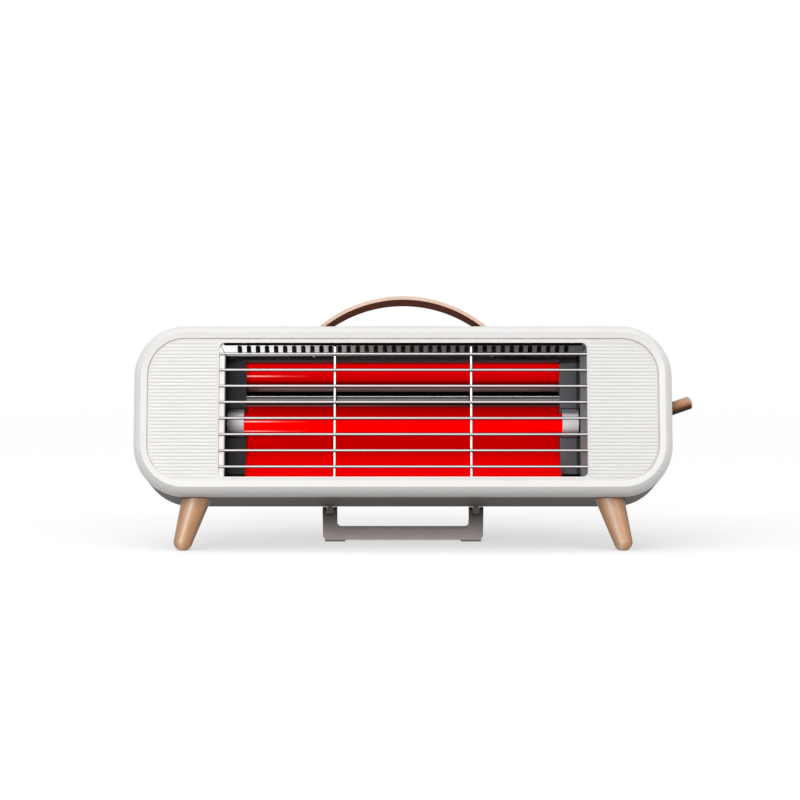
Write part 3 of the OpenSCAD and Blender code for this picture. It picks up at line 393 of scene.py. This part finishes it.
def anodised_strip(name, lines, stops, lit=NO_PAINTED_LIGHT):
    """Anodised sheet: the pale film hides the metal and is nearly matt, with faint rolled
    lines. Its tones run across the casing and carry painted light; lit is a painted glow."""
    material, tree, shader = new_material(name, Metallic=0.0, IOR=1.45, Specular_IOR_Level=0.25)
    across = casing_place(tree)
    rolled = cloudy(tree, ROLLED_MM, lines)
    streaks = mottled(tree, rolled, "#ffffff", "#f0f0f0")
    feed(tree, dimmed(tree, tone_along(tree, across, "X", stops), streaks), shader, "Base Color")
    feed(tree, dimmed(tree, tone_along(tree, across, "X", lit), streaks), shader, "Emission Color")
    shader.inputs["Emission Strength"].default_value = PAINTED_LIGHT_GLOW
    gloss_from(tree, shader, rolled, low=0.35, high=0.5)
    return material


# painted light: white at the left, greyer to the right, and a painted glow at the left
vent_metal = anodised_strip("anodised_vent_strip", ALONG_X, [
    (-137, "#f2ffff"), (-95, "#f2ffff"), (-60, "#dae7e8"), (-35, "#acb9ba"), (-10, "#8c9a9b"),
    (137, "#7c8b8c")], [
    (-137, "#f8ffff"), (-97, "#f8ffff"), (-76, "#c4c8c8"), (-58, "#8c9090"), (-36, "#505454"),
    (-12, "#101212"), (137, "#101212")])
# the left strip is white with a painted glow and the right one grey, painted light; the left strip's
# inner edge is dark, where it meets the enamelled end plate
side_metal = anodised_strip("anodised_side_strip", ALONG_Z, [
    (-137, "#f2ffff"), (-133.8, "#f2ffff"), (-133.4, "#0c0c0c"), (-130, "#0c0c0c"),
    (130, "#98a6a8"), (137, "#8c9a9c")], [
    (-137, "#fcffff"), (-133.8, "#fcffff"), (-133.4, "#000000"), (137, "#000000")])
foot_metal = anodised_strip("anodised_foot_strip", ALONG_X, [(-137, "#f6ffff"), (137, "#eef8f8")])
dress(vent_metal, "vent_strip")
dress(side_metal, "side_liner_left", "side_liner_right")
dress(foot_metal, "bottom_liner")

# Reflectors. Polished aluminium sheet, bent to a parabola about each tube, held between the
# end plates. The tubes' red is painted on as a painted reflection, the lower one glows as painted
# light, and a black band of painted shade on the upper one's lower edge parts the two.
# real polishing lines lie under 0.1 mm apart; they are drawn 5 mm apart, as a soft wave
POLISH_LINES_MM = 5.0
LOWER_SHEET_PAINTED_GLOW = 0.5
# by the way the sheet faces, from -1 at its front to 1 at its back
FRONT_SIDE = ((-1, "#ffffff"), (0.1, "#ffffff"), (0.25, "#000000"), (1, "#000000"))
PLAIN_BACK = ((-1, "#000000"), (0.1, "#000000"), (0.25, "#a6a6a8"), (1, "#a6a6a8"))


def polished_sheet(name, stops, mirror, glow=0.0):
    """Sheet with the tubes' red painted up its front, a painted reflection, and a glow as painted
    light; the back is plain grey; mirror says at which heights it shines as bare metal."""
    material, tree, shader = new_material(name, Specular_IOR_Level=0.0)
    height = casing_place(tree)
    rolled = cloudy(tree, POLISH_LINES_MM, ALONG_X)
    streaks = mottled(tree, rolled, "#ffffff", "#f6f6f6")
    side = facing(tree)
    front = tone_along(tree, side, "Y", FRONT_SIDE)
    rear = tone_along(tree, side, "Y", PLAIN_BACK)
    lit = dimmed(tree, tone_along(tree, height, "Z", stops), front)
    both = add_node(tree, "ShaderNodeVectorMath", links={0: (lit, 0), 1: (rear, 0)},
                    operation="ADD")
    feed(tree, dimmed(tree, both, streaks), shader, "Base Color")
    feed(tree, lit, shader, "Emission Color")
    shader.inputs["Emission Strength"].default_value = glow
    feed(tree, tone_along(tree, height, "Z", mirror), shader, "Metallic")
    gloss_from(tree, shader, rolled, low=0.1, high=0.14)
    return material


# from below: black band of painted shade, grey lip, painted red reflection, dark band of painted shade,
# pale hem
upper_sheet = polished_sheet("mirror_sheet_upper", [
    (79, "#050505"), (83.8, "#050505"), (84.0, "#5a5250"), (85.5, "#8e8486"), (87.6, "#a39a9b"),
    (87.9, "#c80000"), (98.8, "#c00000"), (99.6, "#7a0c0c"), (100.2, "#220808"), (102.9, "#1c0808"),
    (103.1, "#a89ea0"), (103.6, "#988e90"), (104.5, "#7c7274")], [
    (79, "#000000"), (87.6, "#000000"), (88.0, "#ffffff"), (102.8, "#ffffff"), (103.0, "#000000"),
    (104.5, "#000000")])
# painted reflection: the red is strongest at the foot, sinks towards the middle and dies into painted
# shade under the rail
lower_sheet = polished_sheet("mirror_sheet_lower", [
    (14, "#ff0000"), (18, "#fe0000"), (24, "#fa0000"), (30, "#f20000"), (34, "#d80000"),
    (38, "#c00000"), (42, "#b40000"), (49, "#9c0000"), (56, "#a80000"), (62, "#b80000"),
    (69, "#b40000"), (71, "#980000"), (74, "#5a0000"), (77, "#300000")], [
    (14, "#ffffff"), (77, "#ffffff")], LOWER_SHEET_PAINTED_GLOW)
dress(upper_sheet, "upper_reflector")
dress(lower_sheet, "lower_reflector")

# Rail between the reflectors. An angle bent from the same polished sheet, seated on the
# lower reflector: a painted highlight on its top edge, a grey face, dark bands of painted
# shade, and a lip below it with a painted rosy reflection.
rail_sheet = polished_sheet("polished_rail", [
    (69.5, "#5c1c1c"), (70.3, "#663a3c"), (70.9, "#3c2628"), (71.2, "#100a0c"), (73.9, "#120a0c"),
    (74.1, "#968f90"), (75.0, "#807a7c"), (75.6, "#6e6a6c"), (76.05, "#6a6668"), (76.15, "#0a080a"),
    (76.95, "#0a080a"), (77.0, "#ffffff"), (77.6, "#ffffff"), (77.65, "#080808"), (78, "#080808")], [
    (69.5, "#ffffff"), (78, "#ffffff")])
dress(rail_sheet, "reflector_rail")

# End plates. Steel sheet, bent and enamelled black, with tabs screwed to the panel's
# bosses; they close the reflectors' ends and carry the tubes' studs.
PEEL_MM = 2.5

# heat-proof enamel, black; the right plate is painted grey as a painted sheen, with a thin darker line
# near its outer edge
enamel, tree, shader = new_material("black_heatproof_enamel", IOR=1.5, Specular_IOR_Level=0.25)
feed(tree, tone_along(tree, casing_place(tree), "X", [
    (-137, "#020202"), (-131.0, "#020202"), (-127, "#040404"), (-122, "#0a0a0a"), (-117, "#121213"),
    (117, "#64646a"), (129.9, "#606066"), (130.5, "#0c0c0c"), (131.4, "#0c0c0c"), (131.8, "#4c4c4e"),
    (137, "#4c4c4e")]), shader, "Base Color")
peel = cloudy(tree, PEEL_MM)
gloss_from(tree, shader, peel, low=0.36, high=0.48)
relief_on(tree, shader, peel, strength=0.08)
dress(enamel, "end_plate_left", "end_plate_right")

# Heating tubes. Milky drawn quartz with a wound wire inside and a cap at each end, so
# strongly lit from inside that the winding doesn't show. Painted light and shade make the
# upper one brighter on top, the lower one underneath.
QUARTZ_GLOW = 0.62
WIRE_GLOW = 2.0
OXIDE_MM = 1.2
# where the painted highlights show: near the left end
LEFT_END = ((-125, "#ffffff"), (-110, "#ffffff"), (-90, "#686868"), (-70, "#000000"),
            (125, "#000000"))


def glowing_quartz(name, stops, glints):
    """Quartz lit red, about half of it its own glow, toned by the way it faces as painted light and
    shade, with painted pink highlights at its left end.
    """
    material, tree, shader = new_material(name, Roughness=0.3, IOR=1.46, Specular_IOR_Level=0.0)
    around = facing(tree)
    tone = tone_along(tree, around, "Z", stops)
    near_end = tone_along(tree, casing_place(tree), "X", LEFT_END)
    glint = dimmed(tree, tone_along(tree, around, "Z", glints), near_end)
    colour = add_node(tree, "ShaderNodeVectorMath", links={0: (tone, 0), 1: (glint, 0)},
                      operation="ADD")
    feed(tree, colour, shader, "Base Color", "Emission Color")
    shader.inputs["Emission Strength"].default_value = QUARTZ_GLOW
    return material


upper_quartz = glowing_quartz("glowing_quartz_upper", [
    (-1.0, "#1c0000"), (-0.93, "#620000"), (-0.82, "#a40000"), (-0.7, "#b20000"), (-0.6, "#b80000"),
    (-0.2, "#c20000"), (0.1, "#c80000"), (0.7, "#dc0000"), (0.9, "#ee0000"), (1.0, "#ff0000")], [
    (-1.0, "#000000"), (-0.3, "#000000"), (-0.2, "#d8b8b6"), (-0.1, "#000000"), (1.0, "#000000")])
lower_quartz = glowing_quartz("glowing_quartz_lower", [
    (-1.0, "#880000"), (-0.9, "#b40000"), (-0.8, "#d80000"), (-0.68, "#f60000"), (0.1, "#f60000"),
    (0.22, "#e00000"), (0.34, "#c00000"), (0.7, "#b60000"), (0.85, "#ac0000"), (1.0, "#b00000")], [
    (-1.0, "#000000"), (-0.86, "#000000"), (-0.78, "#d8b8b6"), (-0.7, "#000000"), (0.15, "#000000"),
    (0.24, "#d8b8b6"), (0.33, "#000000"), (1.0, "#000000")])
dress(upper_quartz, "upper_tube")
dress(lower_quartz, "lower_tube")

# resistance wire under a dark oxide, glowing orange through it
hot_wire, tree, shader = new_material("hot_resistance_wire", Roughness=0.6)
feed(tree, mottled(tree, cloudy(tree, OXIDE_MM), "#3a1a12", "#2c1510"), shader, "Base Color")
shader.inputs["Emission Color"].default_value = linear("#ff5a18")
shader.inputs["Emission Strength"].default_value = WIRE_GLOW
dress(hot_wire, "upper_coil", "lower_coil")

# End caps and studs. Pressed aluminium caps grip the tube ends, and brass studs with
# nuts hold the caps in the end plates; the switch's tags are of the same brass.
PRESSED_MM = 1.5
TURNED_MM = 1.0

# satin metal, darker at the left caps' outer ends, in the shade of the window's edge
cap_metal, tree, shader = new_material("satin_pressed_cap", Metallic=0.8)
feed(tree, tone_along(tree, casing_place(tree), "X", [
    (-132, "#4a4a4c"), (-129, "#6c6c6f"), (-119, "#c6c6ca"), (119, "#dcdcde"), (132, "#d4d4d8")]),
    shader, "Base Color")
gloss_from(tree, shader, cloudy(tree, PRESSED_MM), low=0.32, high=0.42)
dress(cap_metal, "upper_tube_caps", "lower_tube_caps")

# turned brass, a little dull and uneven from the tool and the heat
brass, tree, shader = new_material("turned_brass", Metallic=1.0)
feed(tree, mottled(tree, cloudy(tree, TURNED_MM), "#c9a35c", "#b8924e"), shader, "Base Color")
gloss_from(tree, shader, cloudy(tree, TURNED_MM), low=0.25, high=0.38)
dress(brass, "tube_studs", "switch_terminals")

# Rear shell. One deep moulding in warm grey ABS that closes the casing, with the slots
# for cooling air at the back and the openings for handle and lever. Four long screws
# draw it to the ring.

# ABS with a duller mould texture, which leaves it almost without shine
grey_abs = moulded_plastic("warm_grey_abs", "#87807c", "#817a76", roughness=0.6, gloss=0.08)
dress(grey_abs, "rear_shell")

# Fasteners. Screws, bolts and pins of steel, headed and rolled, then zinc-plated; the
# thermal cut-out has a can of the same plated steel.
PLATING_MM = 1.5
PLATED_GRAIN_MM = 0.8

# zinc: a cool grey metal, cloudy in tone and in gloss
zinc, tree, shader = new_material("zinc_plated_steel", Metallic=1.0)
feed(tree, mottled(tree, cloudy(tree, PLATING_MM), "#c8cacc", "#b6b8ba"), shader, "Base Color")
gloss_from(tree, shader, cloudy(tree, PLATED_GRAIN_MM), low=0.26, high=0.4)
dress(zinc, "panel_screws", "shell_screws", "handle_screws", "foot_bolts", "stand_pins",
      "lever_pin", "thermal_cutout")

# Inner blocks and cord gland. The gland with its nut, both switches and the blocks that
# hold the strap are moulded in black heat-proof nylon, the terminal block in a pale
# plastic; all are fixed inside the shell.

# nylon: a dull soft black; the block: ivory, with a little shine
nylon = moulded_plastic("black_nylon", "#1d1d1f", "#18181a", roughness=0.55)
pale_block = moulded_plastic("pale_block_plastic", "#e4e0d4", "#dcd8cc", roughness=0.5)
dress(nylon, "cord_gland", "gland_nut", "tip_over_switch", "switch_body", "handle_anchors")
dress(pale_block, "terminal_block")

# Feet and lever. Moulded plastic under a copper-toned satin lacquer; each foot is bolted
# to its seat in the shell, and the lever turns on a pin in its slot.
# the real flakes are near 0.05 mm; they are drawn at 0.8 mm, so that they show
FLAKE_MM = 0.8
FLAKE_RELIEF = 0.03
FLAKE_SPREAD = 0.05
LACQUER_CLOUD_MM = 14
EVEN = ((-137, "#ffffff"), (137, "#ffffff"))


def copper_lacquer(name, axis, stops, roughness, gloss, shade=EVEN):
    """Metallic lacquer whose flakes vary its gloss. Its tones run with the way it faces along an
    axis and hold a painted pale rose highlight and painted shade; shade is painted shade by its place
    in the casing."""
    material, tree, shader = new_material(name, Metallic=0.1, IOR=1.6, Specular_IOR_Level=gloss)
    flakes = cloudy(tree, FLAKE_MM)
    clouds = mottled(tree, cloudy(tree, LACQUER_CLOUD_MM), "#ffffff", "#f2eeea")
    shaded = tone_along(tree, casing_place(tree), "X", shade)
    tone = dimmed(tree, tone_along(tree, facing(tree), axis, stops), clouds, shaded)
    feed(tree, tone, shader, "Base Color")
    gloss_from(tree, shader, flakes, roughness - FLAKE_SPREAD, roughness + FLAKE_SPREAD)
    relief_on(tree, shader, flakes, strength=FLAKE_RELIEF)
    return material


# painted highlight left of the middle and painted shade at the right edge
foot_copper = copper_lacquer("copper_lacquer_foot", "X", [
    (-1.0, "#9a6238"), (-0.8, "#c48a5a"), (-0.5, "#d8aa80"), (-0.22, "#e6c6aa"), (0.05, "#dcac84"),
    (0.35, "#ca9060"), (0.68, "#ca9060"), (0.84, "#a06a44"), (0.92, "#43261a"), (1.0, "#241209")],
    roughness=0.4, gloss=0.75)
# painted shade: the lever is darker where it comes out of the casing; painted light and shade make its
# top pale and its underside near black
lever_copper = copper_lacquer("copper_lacquer_lever", "Z", [
    (-1.0, "#080402"), (-0.7, "#140a05"), (-0.35, "#6a3e26"), (0.0, "#cc9068"), (0.4, "#f2c09a"),
    (1.0, "#f4c8a6")], roughness=0.4, gloss=0.16, shade=[
    (199, "#4a4442"), (203, "#908a86"), (208, "#e2dedc"), (213, "#ffffff"), (216, "#ffffff")])
dress(foot_copper, "foot_left", "foot_right")
dress(lever_copper, "switch_lever")

# Handle. One metal strap, bent to an arch, with its ends screwed to blocks inside the
# shell's top, in the same lacquer as the feet.

# copper above, a painted highlight in pale rose on the edges, and red brown underneath, darker as
# painted shade
handle_copper = copper_lacquer("copper_lacquer_handle", "Z", [
    (-1.0, "#9e5a46"), (-0.55, "#9e5a46"), (-0.35, "#ecd0be"), (0.35, "#ecd0be"), (0.55, "#b5865f"),
    (1.0, "#b5865f")], roughness=0.5, gloss=0.0)
dress(handle_copper, "handle_strap")

# Stand. One U-shaped bracket of 4 mm steel in warm grey powder coat, which turns on two
# pins under the shell, with rubber pads pushed on at its corners.
COAT_CLOUD_MM = 14
ORANGE_PEEL_MM = 0.9
RUBBER_GRAIN_MM = 0.9

# powder coat: matt with a fine orange peel; painted shade darkens it the nearer it is to the casing
stand_coat, tree, shader = new_material("grey_powder_coat", Specular_IOR_Level=0.2)
place = add_node(tree, "ShaderNodeTexCoord")
height = add_node(tree, "ShaderNodeSeparateXYZ", links={"Vector": (place, "Object")})
rising = tone_along(tree, height, "Z", [
    (2 * MM, "#e4d8d6"), (12 * MM, "#b0a5a1"), (19 * MM, "#7c7672"), (25 * MM, "#4e4844"),
    (29 * MM, "#302c2a")])
clouds = mottled(tree, cloudy(tree, COAT_CLOUD_MM), "#ffffff", "#f4f2f2")
feed(tree, dimmed(tree, rising, clouds), shader, "Base Color")
orange_peel = cloudy(tree, ORANGE_PEEL_MM)
gloss_from(tree, shader, orange_peel, low=0.6, high=0.7)
relief_on(tree, shader, orange_peel, strength=0.08)
dress(stand_coat, "stand_bracket")

# rubber: a plain mid grey with a fine grain, almost without shine
pad_rubber = moulded_plastic("grey_rubber", "#9a9390", "#948d8a", roughness=0.7,
                             grain_mm=RUBBER_GRAIN_MM, gloss=0.2)
dress(pad_rubber, "stand_pads")
